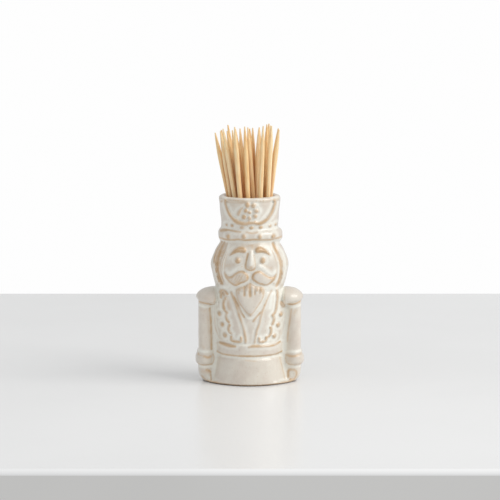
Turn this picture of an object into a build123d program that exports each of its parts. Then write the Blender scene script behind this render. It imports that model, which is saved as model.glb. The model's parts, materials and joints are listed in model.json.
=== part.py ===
from build123d import *
import math
import os

# Nutcracker toothpick dispenser: a glazed ceramic soldier whose tall hat is an open well,
# with a bundle of wooden toothpicks standing in it.
# Millimetres, Z up. The origin is the middle of the foot, on the table; the face looks to -Y.

# ---- Hat ----
holder_height = 76.0        # table to the crest of the rim
hat_top_radius = 12.35
hat_base_radius = 11.55
hat_base_z = 62.6
rim_round = 1.2

# ---- Brim band ----
band_radius = 13.0
band_height = 5.2
band_round = 1.9
band_neck_radius = 11.9     # where the hair tucks in under the band

# ---- Well ----
well_radius = 9.7
well_floor_z = 37.5
well_dish_radius = 16.0     # spherical floor that the picks stand on

# ---- Head: heights of its widest line and its underside, half widths and half depths ----
hair_half_width = 15.7
hair_widest_z = 48.5
head_half_depth = 13.3
jaw_z = 39.4
jaw_half_width = 13.8
jaw_half_depth = 12.6

# ---- Coat, belt and skirt ----
chest_z = 29.0
chest_half_width = 14.4
chest_half_depth = 12.9
waist_half_width = 12.9
waist_half_depth = 12.7
belt_top_z = 16.6
belt_bottom_z = 12.4
belt_proud = 0.7
skirt_top_z = 10.6
skirt_top_half_width = 13.4
skirt_top_half_depth = 13.2
skirt_half_width = 15.6
skirt_half_depth = 14.3
foot_bevel = 0.5

# ---- Arms ----
arm_centre_x = 17.9
arm_half_width = 3.0
arm_half_depth = 4.8
cuff_centre_x = 18.2
cuff_half_width = 4.0
cuff_half_depth = 5.6
cuff_bottom_z = 6.5
cuff_top_z = 12.7
cuff_round = 1.8
hand_inset = 1.6            # how far the fist draws in towards the foot
hand_half_width = 3.0
hand_half_depth = 4.2
web_half_depth = 2.4
epaulette_centre_x = 16.4
epaulette_centre_z = 35.3
epaulette_half_width = 5.3
epaulette_half_depth = 7.2
epaulette_half_height = 3.7

# ---- Relief ----
coat_relief = 0.5           # lapels and trims
face_relief = 1.1           # brows and moustache above the face
beard_relief = 1.8          # beard above the coat
cord_radius = 0.55
dot_radius = 0.75
button_radius = 0.75
groove_radius = 0.6
eye_radius = 1.05
eye_share = 0.325           # share of the head's half width
eye_level = 0.655           # share of the way from the jaw to the brim
nose_radius = 2.1
nose_proud = 1.5
nose_z = 49.3
bridge_length = 5.0

# ---- Hollow in the underside ----
hollow_radius = 10.6
hollow_top_radius = 8.6
hollow_top_z = 32.0
hollow_round = 4.0

# ---- Toothpicks ----
pick_length = 65.0
pick_diameter = 2.1
pick_taper = 11.0
pick_point_diameter = 0.5
pick_gap = 0.14             # air between neighbours
pick_seat_gap = 0.08        # air between a point and the floor of the well
lift_clearance = 4.0        # how far a lifted pick's lower point passes the rim


band_bottom_z = hat_base_z - band_height
rim_curve = min(rim_round, 0.46 * (hat_top_radius - well_radius))


def ellipse_stack(levels):
    """Smooth body through ellipses given as (height, half width, half depth)."""
    with BuildPart() as stack:
        for z, half_width, half_depth in levels:
            with BuildSketch(Plane.XY.offset(z)):
                Ellipse(half_width, half_depth)
        loft()
    return stack.part


def hat_body():
    """Tapered hat, solid, with its rounded rim and its brim band."""
    with BuildPart() as body:
        with BuildSketch(Plane.XZ):
            with BuildLine():
                Polyline(
                    (0, hat_base_z - 1),
                    (hat_base_radius, hat_base_z - 1),
                    (hat_top_radius, holder_height),
                    (0, holder_height),
                    close=True,
                )
            profile = make_face()
            crest = profile.vertices().sort_by(Axis.X)[-1]
            fillet(crest, radius=rim_curve)
        revolve(axis=Axis.Z)
    with BuildPart() as band:
        with BuildSketch(Plane.XZ):
            with BuildLine():
                Polyline(
                    (0, band_bottom_z),
                    (band_radius, band_bottom_z),
                    (band_radius, hat_base_z),
                    (0, hat_base_z),
                    close=True,
                )
            profile = make_face()
            rim = profile.vertices().group_by(Axis.X)[-1]
            fillet(rim, radius=min(band_round, 0.45 * band_height))
        revolve(axis=Axis.Z)
    return body.part + band.part


def head_body(grow=0.0):
    """Hair and face as one smooth egg under the brim."""
    levels = [
        (jaw_z - 1.4, jaw_half_width - 1.6 + grow, jaw_half_depth - 1.2 + grow),
        (jaw_z, jaw_half_width + grow, jaw_half_depth + grow),
        (
            (jaw_z + hair_widest_z) / 2,
            (jaw_half_width + hair_half_width) / 2 + 0.3 + grow,
            (jaw_half_depth + head_half_depth) / 2 + 0.1 + grow,
        ),
        (hair_widest_z, hair_half_width + grow, head_half_depth + grow),
        (
            (hair_widest_z + band_bottom_z) / 2 + 0.5,
            (hair_half_width + band_neck_radius) / 2 + 0.2 + grow,
            (head_half_depth + band_neck_radius) / 2 + 0.3 + grow,
        ),
        (band_bottom_z + 1, band_neck_radius - 0.4 + grow, band_neck_radius - 0.4 + grow),
    ]
    return ellipse_stack(levels)


def coat_body(grow=0.0):
    """Chest and waist, from the skirt up into the underside of the head."""
    levels = [
        (skirt_top_z - 2, waist_half_width + grow, waist_half_depth + grow),
        (belt_top_z, waist_half_width + grow, waist_half_depth + grow),
        (chest_z, chest_half_width + grow, chest_half_depth + grow),
        (jaw_z + 1, jaw_half_width - 0.8 + grow, jaw_half_depth - 0.4 + grow),
    ]
    return ellipse_stack(levels)


# ---- Relief ----
# Marks on the front are placed by shares: the first number runs from the middle (0) to the
# right hand edge (1) of the body at that height, the second from the foot (0) of the zone
# to its top (1).
hat_zone = (hat_base_z, holder_height)
band_zone = (band_bottom_z, hat_base_z)
head_zone = (jaw_z, band_bottom_z)
coat_zone = (belt_top_z, jaw_z)


def mirrored(points):
    """The same points on the other side of the middle."""
    return [(-across, up) for across, up in points]


def on_surface(body, zone, points, side=-1):
    """Points on the front (side -1) or the back (side 1) of a body."""
    placed = []
    for across, up in points:
        height = zone[0] + up * (zone[1] - zone[0])
        sideways = Axis((0, 0, height), (1, 0, 0))
        edge = [hit.X for face in body.faces() for hit, _ in face.find_intersection_points(sideways)]
        sight = Axis((across * max(edge), 0, height), (0, side, 0))
        hits = [hit for face in body.faces() for hit, _ in face.find_intersection_points(sight)]
        placed.append(max(hits, key=lambda hit: side * hit.Y))
    return placed


def sunk(points, depth):
    """Points moved towards the middle axis, so that a bead stands part way out."""
    return [Vector(p.X, p.Y, 0) * (1 - depth / math.hypot(p.X, p.Y)) + (0, 0, p.Z) for p in points]


def stroke(body, zone, points):
    """Straight-sided line of even width, in the sketch that calls it."""
    with BuildLine(mode=Mode.PRIVATE) as run:
        Polyline(*[(at.X, at.Z) for at in on_surface(body, zone, points)])
    trace(run.line, line_width=2 * cord_radius)


def cord(points, radius):
    """Round cord through the points."""
    with BuildPart() as tube:
        with BuildLine() as path:
            Spline(*points)
        with BuildSketch(Plane(origin=path.line @ 0, z_dir=path.line % 0)):
            Circle(radius)
        sweep()
    return tube.part


def patch(*points):
    """Closed smooth patch on the face, in the sketch that calls it."""
    height = head_zone[1] - head_zone[0]
    with BuildSketch(mode=Mode.PRIVATE) as outline:
        with BuildLine():
            placed = [(x * hair_half_width, head_zone[0] + up * height) for x, up in points]
            Spline(*placed, periodic=True)
        make_face()
    add(outline.sketch)


hat = hat_body()
head = head_body()
coat = coat_body()

swag = [(0.815, 0.87), (0.765, 0.63), (0.62, 0.43), (0.41, 0.29), (0.14, 0.24)]
rosette = [(-0.065, 0.80), (0.14, 0.80), (-0.14, 0.62), (0.0, 0.575), (0.21, 0.62)]
rosette += [(-0.20, 0.44), (0.0, 0.41), (0.19, 0.47), (-0.33, 0.59)]
hat_dots = [(-0.8, 0.16), (-0.59, 0.15), (-0.27, 0.13), (0.06, 0.13), (0.40, 0.13), (0.71, 0.14)]
band_dots = [(-0.67, 0.56), (-0.18, 0.56), (0.32, 0.56), (0.75, 0.56)]
lapel = [(0.62, 0.93), (0.435, 0.76), (0.28, 0.50), (0.21, 0.25), (0.145, 0.05)]
trim = [(0.83, 0.92), (0.72, 0.85), (0.79, 0.75), (0.68, 0.64), (0.71, 0.55), (0.60, 0.45)]
trim += [(0.64, 0.34), (0.55, 0.25), (0.59, 0.15), (0.52, 0.05)]
buttons = [(0.90, 0.68), (0.86, 0.51), (0.81, 0.34), (0.745, 0.14)]
eyes = [(-eye_share, eye_level), (eye_share, eye_level)]
strands = [
    [(0.80, 0.98), (0.84, 0.79), (0.85, 0.59), (0.845, 0.40), (0.825, 0.22), (0.79, 0.08)],
    [(0.90, 0.98), (0.945, 0.79), (0.94, 0.60), (0.93, 0.42)],
]
nape_strands = [-0.76, -0.38, 0.0, 0.38, 0.76]

brow = [(0.13, 0.85), (0.19, 0.945), (0.33, 0.93), (0.45, 0.86), (0.52, 0.755), (0.42, 0.83)]
brow += [(0.28, 0.86)]
moustache = [(0.045, 0.29), (0.10, 0.38), (0.25, 0.41), (0.395, 0.345), (0.55, 0.265)]
moustache += [(0.655, 0.31), (0.63, 0.21), (0.535, 0.13), (0.38, 0.08), (0.22, 0.12)]
moustache += [(0.085, 0.20)]
beard = [(0.0, 0.11), (0.23, 0.055), (0.36, -0.01), (0.335, -0.17), (0.235, -0.37), (0.0, -0.6)]
beard += [(-0.235, -0.37), (-0.335, -0.17), (-0.36, -0.01), (-0.23, 0.055)]

# Head: face, brows, moustache, eyes, nose and the grooves between the strands of hair
with BuildPart() as face_marks:
    with BuildSketch(Plane.XZ):
        for shape in (brow, moustache):
            patch(*shape)
            patch(*mirrored(shape))
    extrude(amount=2 * band_radius)
    add(head_body(face_relief), mode=Mode.INTERSECT)

with BuildPart() as carved_head:
    add(head)
    for strand in strands:
        for points in (strand, mirrored(strand)):
            add(cord(on_surface(head, head_zone, points), groove_radius), mode=Mode.SUBTRACT)
    for across in nape_strands:
        points = on_surface(head, head_zone, [(across, 0.98), (across, 0.5), (across, 0.1)], 1)
        add(cord(points, groove_radius), mode=Mode.SUBTRACT)
    add(face_marks.part)
    with Locations(*sunk(on_surface(head, head_zone, eyes), 0.2 * eye_radius)):
        Sphere(eye_radius)
    nose_y = nose_radius - head_half_depth - nose_proud
    with BuildSketch(Plane.XY.offset(nose_z)):
        with Locations((0, nose_y)):
            Circle(nose_radius)
    with BuildSketch(Plane.XY.offset(nose_z + bridge_length)):
        with Locations((0, nose_y + 0.3)):
            Circle(0.5 * nose_radius)
    loft(ruled=True)
    with Locations((0, nose_y, nose_z)):
        Sphere(nose_radius)

# Hat: swag cord, rosette, beads round the foot of the hat and on the brim band
with BuildPart() as dressed_hat:
    add(hat)
    add(cord(on_surface(hat, hat_zone, mirrored(swag) + swag[::-1]), cord_radius))
    for zone, points, side in (
        (hat_zone, rosette + hat_dots, -1),
        (hat_zone, hat_dots, 1),
        (band_zone, band_dots, -1),
        (band_zone, band_dots, 1),
    ):
        with Locations(*sunk(on_surface(hat, zone, points, side), 0.3 * dot_radius)):
            Sphere(dot_radius)

# Coat: lapels, trims, buttons and the beard that lies on it
with BuildPart() as coat_marks:
    with BuildSketch(Plane.XZ):
        for edging in (lapel, trim):
            stroke(coat, coat_zone, edging)
            stroke(coat, coat_zone, mirrored(edging))
    extrude(amount=2 * band_radius)
    add(coat_body(coat_relief), mode=Mode.INTERSECT)

with BuildPart() as beard_part:
    with BuildSketch(Plane.XZ):
        patch(*beard)
    extrude(amount=2 * band_radius)
    add(coat_body(beard_relief), mode=Mode.INTERSECT)

with BuildPart() as dressed_coat:
    add(coat)
    add(coat_marks.part)
    add(beard_part.part)
    with Locations(*sunk(on_surface(coat, coat_zone, buttons + mirrored(buttons)), 0.3)):
        Sphere(button_radius)

# ---- Right arm with its cuff, hand and epaulette; the left one is its mirror image ----
with BuildPart() as arm:
    with BuildSketch(Plane.XY.offset(cuff_top_z - 1)):
        with Locations((arm_centre_x, 0)):
            Ellipse(arm_half_width, arm_half_depth)
    extrude(amount=epaulette_centre_z - cuff_top_z + 1)
    # Clay that fills the gap between the arm and the body
    with Locations((arm_centre_x - hand_inset, 0, 0)):
        Box(
            arm_centre_x - hand_inset - 0.8 * waist_half_width,
            2 * web_half_depth,
            epaulette_centre_z,
            align=(Align.MAX, Align.CENTER, Align.MIN),
        )

with BuildPart() as hand:
    for level, inset in ((0, 1.0), (0.2, 0.45), (0.5, 0.15), (1.1, 0.0)):
        with BuildSketch(Plane.XY.offset(level * cuff_bottom_z)):
            with Locations((arm_centre_x - inset * hand_inset, 0)):
                Ellipse(hand_half_width - inset * hand_inset, hand_half_depth - inset * hand_inset)
    loft()

with BuildPart() as cuff:
    with BuildSketch(Plane.XY.offset(cuff_bottom_z)):
        with Locations((cuff_centre_x, 0)):
            Ellipse(cuff_half_width, cuff_half_depth)
    extrude(amount=cuff_top_z - cuff_bottom_z)
    fillet(cuff.edges().group_by(Axis.Z)[0], radius=cuff_round)
    fillet(cuff.edges().group_by(Axis.Z)[-1], radius=cuff_round)

with BuildPart() as epaulette:
    Sphere(1.0)
    scale(by=(epaulette_half_width, epaulette_half_depth, epaulette_half_height))

epaulette_place = Location((epaulette_centre_x, 0, epaulette_centre_z))
right_side = [arm.part, hand.part, cuff.part, epaulette_place * epaulette.part]

# ---- The ceramic holder, one casting ----
with BuildPart() as holder:
    for z, half_width, half_depth in (
        (0, skirt_half_width - foot_bevel, skirt_half_depth - foot_bevel),
        (foot_bevel, skirt_half_width, skirt_half_depth),
        (skirt_top_z, skirt_top_half_width, skirt_top_half_depth),
    ):
        with BuildSketch(Plane.XY.offset(z)):
            Ellipse(half_width, half_depth)
    loft(ruled=True)
    with BuildSketch(Plane.XY.offset(belt_bottom_z)):
        Ellipse(waist_half_width + belt_proud, waist_half_depth + belt_proud)
    extrude(amount=belt_top_z - belt_bottom_z)
    add(dressed_coat.part)
    add(carved_head.part)
    add(dressed_hat.part)
    for piece in right_side:
        add(piece)
        add(piece.mirror(Plane.YZ))
    # Well down through the hat and head, with a rounded mouth and a dished floor
    dish_edge_z = well_floor_z + well_dish_radius
    dish_edge_z -= math.sqrt(well_dish_radius**2 - well_radius**2)
    with BuildSketch(Plane.XZ):
        with BuildLine():
            Polyline(
                (0, well_floor_z),
                (0, holder_height + 1),
                (well_radius + rim_curve, holder_height + 1),
                (well_radius + rim_curve, holder_height),
            )
            RadiusArc(
                (well_radius + rim_curve, holder_height),
                (well_radius, holder_height - rim_curve),
                -rim_curve,
            )
            Line((well_radius, holder_height - rim_curve), (well_radius, dish_edge_z))
            RadiusArc((well_radius, dish_edge_z), (0, well_floor_z), well_dish_radius)
        make_face()
    revolve(axis=Axis.Z, mode=Mode.SUBTRACT)
    # Hollow in the underside, which leaves a foot ring
    with BuildSketch(Plane.XZ):
        with BuildLine():
            Polyline(
                (0, -1),
                (hollow_radius, -1),
                (hollow_radius, 0),
                (hollow_top_radius, hollow_top_z),
                (0, hollow_top_z),
                close=True,
            )
        section = make_face()
        corner = section.vertices().group_by(Axis.Y)[-1].sort_by(Axis.X)[-1]
        fillet(corner, radius=min(hollow_round, 0.6 * hollow_top_radius))
    revolve(axis=Axis.Z, mode=Mode.SUBTRACT)

holder.part.label = "holder"


# ---- Toothpicks ----
# The picks stand in sheets, one behind another. Each sheet fans out sideways from a narrower
# row of feet. The feet stand right of the middle, a little more so in every other sheet, so
# most picks lean to the left. A small sway keeps the steps of a sheet uneven.
bundle_size = 24
sheet_pitch = 1.1 * pick_diameter
rim_step = 4.1              # least step between the picks of a sheet, at the rim
foot_step = 1.4             # step between their feet
foot_drift = 2.0            # how far right of the middle the feet stand
foot_stagger = 1.0          # and how much more or less in every other sheet
rim_sway = 1.3
foot_sway = 0.3
sway_turn = 1.9             # radians from the sway of one pick to that of the next
taken_place = complex(0.5, 6.6)
taken_radius = 3.15
taken_depth = 8.0
well_depth = holder_height - well_floor_z
lift = well_depth + lift_clearance
pick_radius = pick_diameter / 2
point_radius = pick_point_diameter / 2
rim_reach = well_radius - 1.03 * pick_radius - 0.1


def reach(height):
    """Radius that a pick needs at a height above its foot, also while it is lifted out."""
    if height >= pick_taper:
        return pick_radius
    share = 1 - height / pick_taper
    return pick_radius - (pick_radius - point_radius) * share**2


def closest_height(apart, spread):
    """Height at which two leaning picks of full thickness come closest."""
    height = -(apart.real * spread.real + apart.imag * spread.imag) / (abs(spread) ** 2 + 1e-9)
    return min(max(height, pick_taper), pick_length + lift)


def settle(rims, feet):
    """Push leaning picks apart, inside the wall, until none touches another."""
    foot_limit = well_radius - 2.2
    rounds = 240
    wished_rims, wished_feet = list(rims), list(feet)
    for turn in range(rounds):
        pull = 0.06 * max(0.0, 1 - turn / (0.6 * rounds))
        rims = [at + (wish - at) * pull for at, wish in zip(rims, wished_rims)]
        feet = [at + (wish - at) * pull for at, wish in zip(feet, wished_feet)]
        # A leaning pick is wider along its lean, cut level, than across its axis.
        steep = [math.hypot(1, abs(rim - foot) / well_depth) for rim, foot in zip(rims, feet)]
        worst = 0.0
        for i in range(len(rims)):
            for j in range(i):
                apart = feet[i] - feet[j]
                spread = (rims[i] - rims[j] - apart) / well_depth
                for height in (0, 3, 6, 8.5, closest_height(apart, spread)):
                    share = height / well_depth
                    gap = (feet[i] - feet[j]) * (1 - share) + (rims[i] - rims[j]) * share
                    need = reach(height) * (steep[i] + steep[j]) + pick_gap
                    short = need - abs(gap)
                    if short > 0:
                        worst = max(worst, short)
                        push = gap / (abs(gap) + 1e-9) * short * 0.51
                        push /= (1 - share) ** 2 + share**2
                        feet[i] += push * (1 - share)
                        feet[j] -= push * (1 - share)
                        rims[i] += push * share
                        rims[j] -= push * share
        # Keep clear of the space where picks have already been taken out
        for i in range(len(rims)):
            for share in (1 - taken_depth / well_depth, 1):
                gap = feet[i] * (1 - share) + rims[i] * share - taken_place
                short = taken_radius + pick_radius * steep[i] - abs(gap)
                if short > 0:
                    worst = max(worst, short)
                    push = gap / (abs(gap) + 1e-9) * short / ((1 - share) ** 2 + share**2)
                    feet[i] += push * (1 - share)
                    rims[i] += push * share
        rims = [at * min(1.0, rim_reach / (abs(at) + 1e-9)) for at in rims]
        feet = [at * min(1.0, foot_limit / (abs(at) + 1e-9)) for at in feet]
        if worst < 0.012 and turn > 0.6 * rounds:
            break
    return rims, feet


def lay_out():
    """Where each pick of the bundle crosses the rim and where it stands, front sheet first."""
    rims, feet = [], []
    sheet_count = int(2 * rim_reach / sheet_pitch)
    for sheet in range(sheet_count):
        back = (sheet - (sheet_count - 1) / 2) * sheet_pitch
        half_width = math.sqrt(rim_reach**2 - back**2)
        count = int(2 * half_width / rim_step) + 1
        foot_middle = foot_drift + foot_stagger * (1 if sheet % 2 else -1)
        for index in range(count):
            steps = index - (count - 1) / 2
            place = complex(steps * 2 * half_width / (count - 1), back)
            if abs(place - taken_place) < taken_radius + pick_radius:
                continue
            turn = sway_turn * (len(rims) + 1)
            rims.append(place + rim_sway * math.sin(turn))
            feet.append(complex(steps * foot_step + foot_middle + foot_sway * math.cos(turn), back))
    return rims[:bundle_size], feet[:bundle_size]


rims, feet = settle(*lay_out())

with BuildPart() as pick:
    with BuildSketch(Plane.XZ):
        with BuildLine():
            Line((0, 0), (point_radius, 0))
            Spline(
                (point_radius, 0),
                (reach(pick_taper / 2), pick_taper / 2),
                (pick_radius, pick_taper),
                tangents=[(0.5, 1.5), (0, 1)],
            )
            Line((pick_radius, pick_taper), (pick_radius, pick_length - pick_taper))
            Spline(
                (pick_radius, pick_length - pick_taper),
                (reach(pick_taper / 2), pick_length - pick_taper / 2),
                (point_radius, pick_length),
                tangents=[(0, 1), (-0.5, 1.5)],
            )
            Polyline((point_radius, pick_length), (0, pick_length), (0, 0))
        make_face()
    revolve(axis=Axis.Z)

os.makedirs("parts", exist_ok=True)
export_step(holder.part, "parts/holder.step")

for number, (rim, foot) in enumerate(zip(rims, feet), start=1):
    slope = (rim - foot) / well_depth
    direction = Vector(slope.real, slope.imag, 1).normalized()
    # Slide down the axis until the point meets the dished floor
    rise = 0.0
    for _ in range(8):
        off_centre = abs(foot + slope * rise) + point_radius
        rise = well_dish_radius - math.sqrt(well_dish_radius**2 - off_centre**2) + pick_seat_gap
    foot += slope * rise
    stand = Plane(
        origin=(foot.real, foot.imag, well_floor_z + rise),
        x_dir=Vector(0, 1, 0).cross(direction),
        z_dir=direction,
    )
    with BuildPart() as toothpick:
        add(stand.location * pick.part)
    toothpick.part.label = f"toothpick_{number:02d}"
    export_step(toothpick.part, f"parts/toothpick_{number:02d}.step")
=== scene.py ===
import json
import math

import bpy
import numpy as np
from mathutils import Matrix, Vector


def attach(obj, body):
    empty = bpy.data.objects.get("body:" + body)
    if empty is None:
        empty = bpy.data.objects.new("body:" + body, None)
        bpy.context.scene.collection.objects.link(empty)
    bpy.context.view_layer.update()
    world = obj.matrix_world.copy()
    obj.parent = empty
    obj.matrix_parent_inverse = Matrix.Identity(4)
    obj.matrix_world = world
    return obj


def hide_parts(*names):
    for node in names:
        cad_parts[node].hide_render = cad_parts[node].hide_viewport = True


# Nutcracker toothpick dispenser: a glazed ceramic soldier with wooden toothpicks in its hat.
# The figure is worked out in millimetres and turned into metres as its mesh is made.
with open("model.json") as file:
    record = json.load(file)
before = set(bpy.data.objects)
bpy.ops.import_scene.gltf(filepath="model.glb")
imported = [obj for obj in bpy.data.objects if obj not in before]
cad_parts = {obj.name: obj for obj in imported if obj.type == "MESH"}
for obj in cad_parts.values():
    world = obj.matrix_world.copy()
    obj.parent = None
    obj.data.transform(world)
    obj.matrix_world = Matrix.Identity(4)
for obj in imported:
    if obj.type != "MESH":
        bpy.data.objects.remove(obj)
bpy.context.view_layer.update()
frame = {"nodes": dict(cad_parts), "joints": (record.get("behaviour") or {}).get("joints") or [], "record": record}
MM = 0.001

# ---- node helpers
def srgb(red, green, blue):
    """Colour in 0-255 steps as the linear colour that a shader takes."""
    linear = []
    for part in (red, green, blue):
        share = part / 255
        linear.append(share / 12.92 if share <= 0.04045 else ((share + 0.055) / 1.055) ** 2.4)
    return (*linear, 1)


class Nodes:
    """Short hand for building the node tree of a material or of the world."""

    def __init__(self, owner):
        owner.use_nodes = True
        self.owner = owner
        self.tree = owner.node_tree
        self.tree.nodes.clear()

    def put(self, socket, value):
        """Link a socket to another one, or give it a value."""
        if isinstance(value, bpy.types.NodeSocket):
            self.tree.links.new(value, socket)
        else:
            socket.default_value = value

    def add(self, kind, inputs=None, **settings):
        """New node with its settings, and with links or values for its inputs."""
        node = self.tree.nodes.new("ShaderNode" + kind)
        for name, value in settings.items():
            setattr(node, name, value)
        for name, value in (inputs or {}).items():
            self.put(node.inputs[name], value)
        return node

    def attribute(self, name, output="Fac"):
        return self.add("Attribute", attribute_name=name).outputs[output]

    def coordinates(self):
        return self.add("TexCoord").outputs["Object"]

    def noise(self, vector, scale, detail, roughness=0.5):
        inputs = {"Vector": vector, "Scale": scale, "Detail": detail, "Roughness": roughness}
        return self.add("TexNoise", inputs).outputs["Fac"]

    def streaks(self, vector, stretch, detail, roughness):
        """Noise with a scale of its own along each axis."""
        stretched = self.add("Mapping", {"Vector": vector, "Scale": stretch}).outputs[0]
        return self.noise(stretched, 1, detail, roughness)

    def ramp(self, value, low, high, to_low=0, to_high=1):
        """Smooth step from one value to another."""
        inputs = {"Value": value, "From Min": low, "From Max": high, "To Min": to_low, "To Max": to_high}
        return self.add("MapRange", inputs, interpolation_type="SMOOTHSTEP").outputs["Result"]

    def maths(self, operation, first, second, clamp=False):
        return self.add("Math", {0: first, 1: second}, operation=operation, use_clamp=clamp).outputs[0]

    def mixed(self, share, first, second):
        node = self.add("Mix", {"Factor": share}, data_type="RGBA")
        colours = [socket for socket in node.inputs if socket.type == "RGBA"]
        for socket, colour in zip(colours, (first, second)):
            self.put(socket, colour)
        return [socket for socket in node.outputs if socket.type == "RGBA"][0]

    def bump(self, height, distance, strength, **onto):
        """Bumps in the surface, alone or onto the bumps given as Normal."""
        inputs = {"Height": height, "Distance": distance, "Strength": strength, **onto}
        return self.add("Bump", inputs).outputs[0]

    def surface(self, looks):
        """The finished material: a principled shader with these inputs."""
        shader = self.add("BsdfPrincipled", looks)
        self.add("OutputMaterial", {"Surface": shader.outputs[0]})
        return self.owner


# ---- camera and light
eye = (0.00012, -1, 0.19405)
look_down = math.radians(8)
lens_mm = 179.6
sensor_mm = 36
key_place = Vector((1.10, -0.46, 0.98))
key_aim = Vector((0, 0, 0.05))
key_size = (0.95, 1.05)
key_watts = 13.5
key_colour = (1, 0.985, 0.955)
sky_light = 0.64
sky_white = (1, 1, 1, 1)
backdrop_white = (0.99, 0.99, 0.99, 1)


def link(obj):
    bpy.context.scene.collection.objects.link(obj)
    return obj


def make_camera():
    data = bpy.data.cameras.new("camera")
    data.lens = lens_mm
    data.sensor_width = sensor_mm
    camera = link(bpy.data.objects.new("camera", data))
    camera.location = eye
    camera.rotation_euler = (math.pi / 2 - look_down, 0, 0)
    bpy.context.scene.camera = camera


def make_key_light():
    """Large and slightly warm area lamp, high on the right."""
    data = bpy.data.lights.new("key", "AREA")
    data.shape = "RECTANGLE"
    data.size, data.size_y = key_size
    data.energy = key_watts
    data.color = key_colour
    lamp = link(bpy.data.objects.new("key", data))
    lamp.location = key_place
    lamp.rotation_mode = "QUATERNION"
    lamp.rotation_quaternion = (key_aim - key_place).to_track_quat("-Z", "Y")


def make_world():
    """Even light from all round, behind which the camera sees a white backdrop."""
    world = bpy.data.worlds.new("studio")
    bpy.context.scene.world = world
    nodes = Nodes(world)
    lighting = nodes.add("Background", {"Color": sky_white, "Strength": sky_light})
    backdrop = nodes.add("Background", {"Color": backdrop_white, "Strength": 1})
    rays = nodes.add("LightPath").outputs
    seen = nodes.maths("MAXIMUM", rays["Is Camera Ray"], rays["Is Transmission Ray"])
    mix = nodes.add("MixShader", {0: seen, 1: lighting.outputs[0], 2: backdrop.outputs[0]})
    nodes.add("OutputWorld", {"Surface": mix.outputs[0]})


make_camera()
make_key_light()
make_world()
bpy.context.scene.view_settings.view_transform = "Standard"


# ---- floor
floor_front_y = -0.162
floor_back_y = 0.2266
floor_half_width = 3
floor_thickness = 0.05
floor_edge_round = 0.002
floor_edge_steps = 6
top_shades = (srgb(239, 240, 241), srgb(244, 245, 246))
# Darker greys for the counter's front face: painted shade, since the light from all round lights that face as
# brightly as the top
front_face_shade_greys = (srgb(216, 216, 215), srgb(221, 221, 220))


def floor_material(name, shades):
    """Faintly clouded pale stone with a soft shine."""
    nodes = Nodes(bpy.data.materials.new(name))
    at = nodes.coordinates()
    cloud = nodes.ramp(nodes.noise(at, 5, 4), 0.35, 0.65)
    return nodes.surface({
        "Base Color": nodes.mixed(cloud, *shades),
        "Roughness": 0.24,
        "Specular IOR Level": 0.3,
        "Normal": nodes.bump(nodes.noise(at, 260, 2), 0.00002, 0.3),
    })


def make_floor():
    """Counter top with rounded front and back edges."""
    turn = np.arange(floor_edge_steps + 1) * math.pi / (2 * floor_edge_steps)
    off, down = floor_edge_round * (1 - np.sin(turn)), floor_edge_round * (1 - np.cos(turn))
    front_edge = [*zip(floor_front_y + off, -down), (floor_front_y, -floor_thickness)]
    back_edge = [*zip(floor_back_y - off, -down), (floor_back_y, -floor_thickness)]
    profile = front_edge[::-1] + back_edge
    points = [(x, y, z) for x in (-floor_half_width, floor_half_width) for y, z in profile]
    count = len(profile)
    faces = [(n, n + 1, n + 1 + count, n + count) for n in range(count - 1)]
    mesh = bpy.data.meshes.new("floor")
    mesh.from_pydata(points, [], faces)
    mesh.materials.append(floor_material("counter_top", top_shades))
    mesh.materials.append(floor_material("counter_front_painted_shade", front_face_shade_greys))
    # The front face takes the darker material, as painted shade
    mesh.polygons[0].material_index = 1
    floor = link(bpy.data.objects.new("floor", mesh))


make_floor()


# ---- curves and maps
# What is modelled on a side of the figure is drawn on a map of that side: millimetres to
# the right and up, as seen from the front. The back's map is drawn as seen through the figure.
map_step = 0.12
map_x = np.arange(-23, 23, map_step)
map_z = np.arange(-1, 77.5, map_step)
curve_pieces = 8            # steps from one given point of a curve to the next
far_off = 99.0
usual_halo = 0.75           # softness of the pooled glaze beside a raised form
hem = 0.3                   # how far inside its outline a raised form is tinted
softening_rounds = 4


def smooth_line(points, closed=False):
    """Points along a smooth curve through the given ones."""
    given = np.array(points, float)
    if closed:
        run = np.concatenate([given[-1:], given, given[:2]])
    else:
        run = np.concatenate([2 * given[:1] - given[1:2], given, 2 * given[-1:] - given[-2:-1]])
    share = np.arange(curve_pieces)[:, None] / curve_pieces
    found = []
    for a, b, c, d in zip(run, run[1:], run[2:], run[3:]):
        bend = share * (2 * a - 5 * b + 4 * c - d) + share**2 * (3 * (b - c) + d - a)
        found.append(b + 0.5 * share * (c - a + bend))
    found.append(given[:1] if closed else given[-1:])
    return np.concatenate(found)


def window(points, margin):
    """The part of the map round some points."""
    low, high = points.min(0) - margin, points.max(0) + margin
    across = np.searchsorted(map_x, (low[0], high[0]))
    up = np.searchsorted(map_z, (low[1], high[1]))
    return slice(*across), slice(*up)


def places(where):
    """The x and the z of a window of the map, as a column and a row."""
    return map_x[where[0]][:, None], map_z[where[1]][None, :]


def distance_to(line, where):
    """Distance from each map point of a window to a line."""
    x, z = places(where)
    nearest = np.full((x.size, z.size), far_off)
    for start, end in zip(line, line[1:]):
        step = end - start
        share = ((x - start[0]) * step[0] + (z - start[1]) * step[1]) / (step @ step + 1e-9)
        share = np.clip(share, 0, 1)
        away = np.hypot(x - start[0] - share * step[0], z - start[1] - share * step[1])
        nearest = np.minimum(nearest, away)
    return nearest


def within(line, where):
    """Which map points of a window a closed line goes round."""
    x, z = places(where)
    odd = np.zeros((x.size, z.size), bool)
    for (x0, z0), (x1, z1) in zip(line, line[1:]):
        if z0 == z1:
            continue
        crossing = x0 + (z - z0) * (x1 - x0) / (z1 - z0)
        odd ^= ((z0 > z) != (z1 > z)) & (x < crossing)
    return odd


def bell(away, width):
    """Soft share that is 1 on a line and fades at this distance from it."""
    return np.exp(-((away / width) ** 2))


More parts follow.
